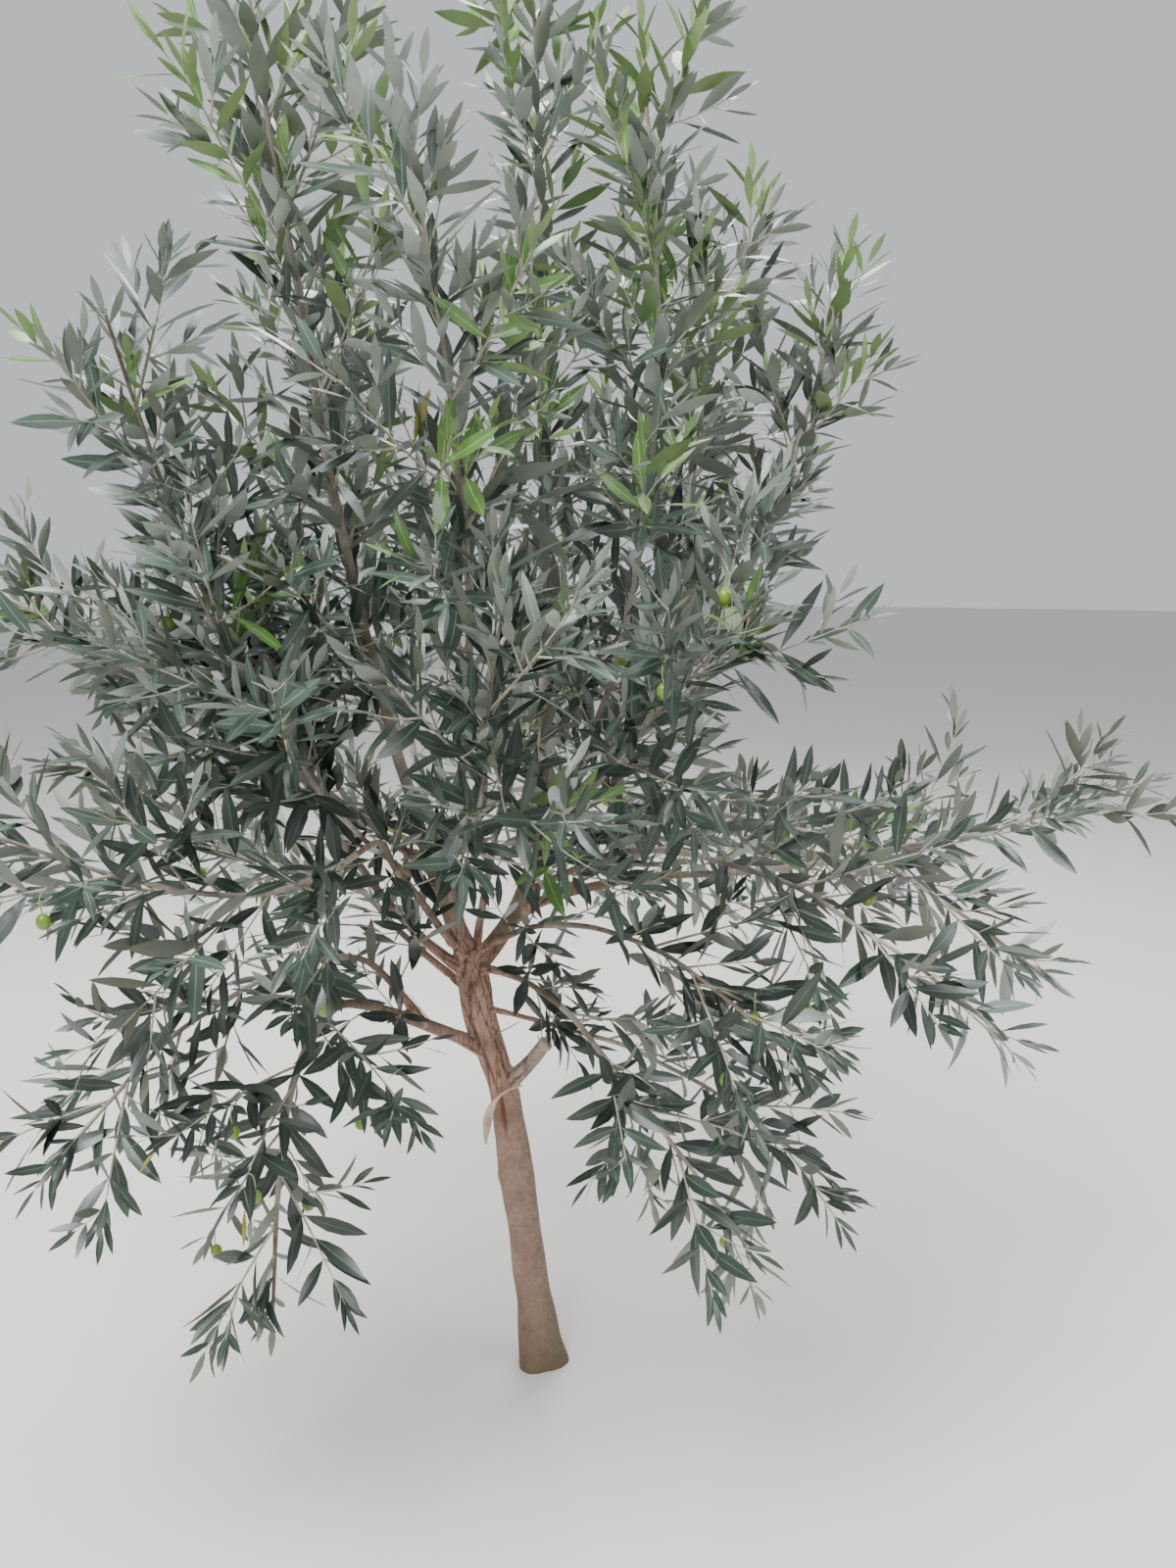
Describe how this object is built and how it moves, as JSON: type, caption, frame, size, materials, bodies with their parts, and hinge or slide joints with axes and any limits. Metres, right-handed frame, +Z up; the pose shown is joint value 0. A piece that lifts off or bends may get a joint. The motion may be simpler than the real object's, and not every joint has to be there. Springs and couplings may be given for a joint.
{
  "type": "olive tree",
  "caption": "Young garden olive tree rooted in the ground: a leaning trunk that forks low into slender boughs, with an open crown of narrow grey-green leaves and green olives.",
  "frame": {"origin": "The middle of the flat cut under the trunk, at ground level.", "axes": "+Z is up from the ground. Seen from the front, +X is to the right and +Y is away."},
  "size_m": [1.7413, 1.2113, 1.9292],
  "materials": {
    "trunk_bark": "smooth grey-tan bark low down, reddish brown and fissured towards the fork",
    "bough_bark": "grey-brown bark, matte, paler on young wood",
    "foliage": "leathery leaves, dark grey-green above and silvery below, with a soft sheen"
  },
  "bodies": {
    "root": {"trunk": "trunk_bark", "bough_left": "bough_bark", "bough_front": "bough_bark", "bough_front_mid": "bough_bark", "bough_left_mid": "bough_bark", "bough_left_inner": "bough_bark", "bough_left_upper": "bough_bark", "bough_left_front": "bough_bark", "bough_left_low": "bough_bark", "bough_left_fork": "bough_bark", "bough_centre": "bough_bark", "bough_right_upper": "bough_bark", "bough_right_high": "bough_bark", "bough_right_inner": "bough_bark", "bough_right_front": "bough_bark", "bough_right_mid": "bough_bark", "bough_right_far": "bough_bark", "bough_right_near": "bough_bark", "bough_right_low": "bough_bark", "bough_right_under": "bough_bark", "bough_stub": "bough_bark", "bough_back_left": "bough_bark", "bough_back_right": "bough_bark", "bough_back_mid": "bough_bark", "bough_back_low_left": "bough_bark", "bough_back_low_right": "bough_bark", "leaves_left": "foliage", "leaves_front": "foliage", "leaves_front_mid": "foliage", "leaves_left_mid": "foliage", "leaves_left_inner": "foliage", "leaves_left_upper": "foliage", "leaves_left_front": "foliage", "leaves_left_low": "foliage", "leaves_left_fork": "foliage", "leaves_centre": "foliage", "leaves_right_upper": "foliage", "leaves_right_high": "foliage", "leaves_right_inner": "foliage", "leaves_right_front": "foliage", "leaves_right_mid": "foliage", "leaves_right_far": "foliage", "leaves_right_near": "foliage", "leaves_right_low": "foliage", "leaves_right_under": "foliage", "leaves_back_left": "foliage", "leaves_back_right": "foliage", "leaves_back_mid": "foliage", "leaves_back_low_left": "foliage", "leaves_back_low_right": "foliage"}
  },
  "joints": []
}
